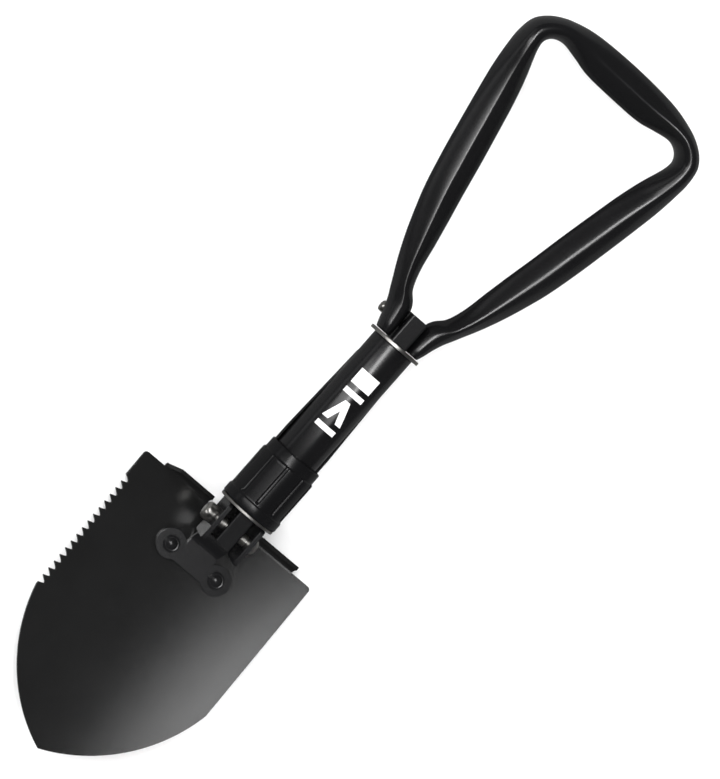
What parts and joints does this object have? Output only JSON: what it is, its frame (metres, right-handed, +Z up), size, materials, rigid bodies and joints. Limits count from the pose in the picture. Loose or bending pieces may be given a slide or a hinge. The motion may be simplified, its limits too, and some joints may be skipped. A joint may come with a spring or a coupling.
{
  "type": "folding camp shovel",
  "caption": "Folding camp shovel with a pointed saw-edged blade, square-cam hinge, screw collar lock, tubular shaft and triangular loop handle.",
  "frame": {"origin": "centre of the open shovel's footprint, on the surface it lies on", "axes": "+Y from the blade tip to the handle along the shaft, +Z up out of the blade's dished front, +X to the right seen from the front with the handle up"},
  "size_m": [0.1196, 0.4648, 0.0414],
  "materials": {
    "gloss_black_steel": "semi-gloss black powder coat on steel tube",
    "black_steel": "satin black coated steel",
    "matte_black_steel": "matte black powder coat with a fine grain on sheet steel",
    "guide_plastic": "moulded nylon",
    "collar_plastic": "satin black moulded collar",
    "zinc_steel": "bright zinc plated steel"
  },
  "bodies": {
    "shaft": {"shaft_tube": "gloss_black_steel", "core_channel": "black_steel", "rear_shell": "gloss_black_steel", "shell_rivet_lower": "black_steel", "shell_rivet_upper": "black_steel", "screw_sleeve": "black_steel", "lower_guide": "guide_plastic", "upper_guide": "guide_plastic", "top_washer": "zinc_steel", "bolt_spacer": "zinc_steel", "pin_spacer": "zinc_steel"},
    "blade": {"blade_plate": "matte_black_steel", "hinge_bracket": "matte_black_steel", "blade_rivet_left": "matte_black_steel", "blade_rivet_right": "matte_black_steel", "hinge_bolt": "zinc_steel", "hinge_nut": "zinc_steel"},
    "washer": {"lock_washer": "zinc_steel"},
    "collar": {"collar_grip": "collar_plastic", "thrust_ring": "zinc_steel"},
    "handle": {"handle_loop": "gloss_black_steel", "handle_pin": "zinc_steel"}
  },
  "joints": [
    {"name": "blade_fold", "type": "hinge", "parent": "shaft", "child": "blade", "pos_m": [0, -0.08154, 0.02432], "axis": [-1, 0, 0], "range_deg": [0, 174]},
    {"name": "collar_slide", "type": "slide", "parent": "shaft", "child": "washer", "axis": [0, 1, 0], "range_m": [0, 0.0205]},
    {"name": "collar_turn", "type": "hinge", "parent": "washer", "child": "collar", "pos_m": [0, -0.05, 0.02432], "axis": [0, 1, 0], "range_deg": [0, 700]},
    {"name": "handle_fold", "type": "hinge", "parent": "shaft", "child": "handle", "pos_m": [0, 0.05586, 0.01782], "axis": [-1, 0, 0], "range_deg": [0, 163]}
  ],
  "couplings": [
    {"joint": "collar_slide", "follows": "blade_fold", "m_per_rad": 0.00675},
    {"joint": "collar_turn", "follows": "blade_fold", "ratio": 4}
  ]
}
